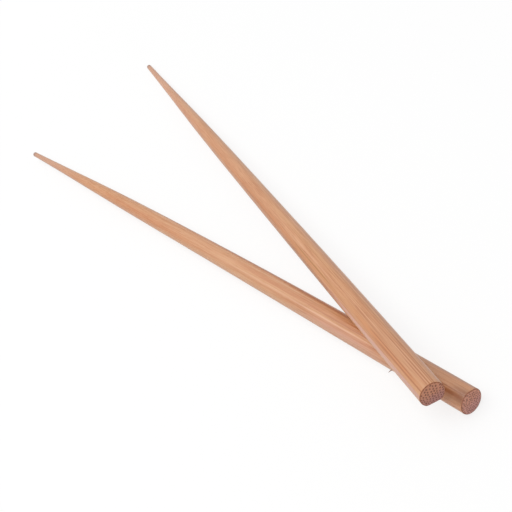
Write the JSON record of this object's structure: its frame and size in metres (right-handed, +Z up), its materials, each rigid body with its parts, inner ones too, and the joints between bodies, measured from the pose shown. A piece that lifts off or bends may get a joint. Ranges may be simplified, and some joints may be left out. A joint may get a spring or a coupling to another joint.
{
  "type": "pair of chopsticks",
  "caption": "Round bamboo chopsticks with long convex tapers, rounded tips and sawn butt ends, one lying across the other near the butts.",
  "frame": {"origin": "middle of the pair's footprint, on the table that it lies on", "axes": "+Y along the lower chopstick from its butt towards its tip, +Z up from the table, +X towards the upper chopstick's tip"},
  "size_m": [0.0722, 0.24, 0.0174],
  "materials": {
    "lower_bamboo": "turned and sanded carbonised bamboo, satin, fine straight fibres",
    "upper_bamboo": "turned and sanded carbonised bamboo, satin, fine straight fibres"
  },
  "bodies": {
    "root": {"lower_chopstick": "lower_bamboo", "upper_chopstick": "upper_bamboo"}
  },
  "joints": []
}
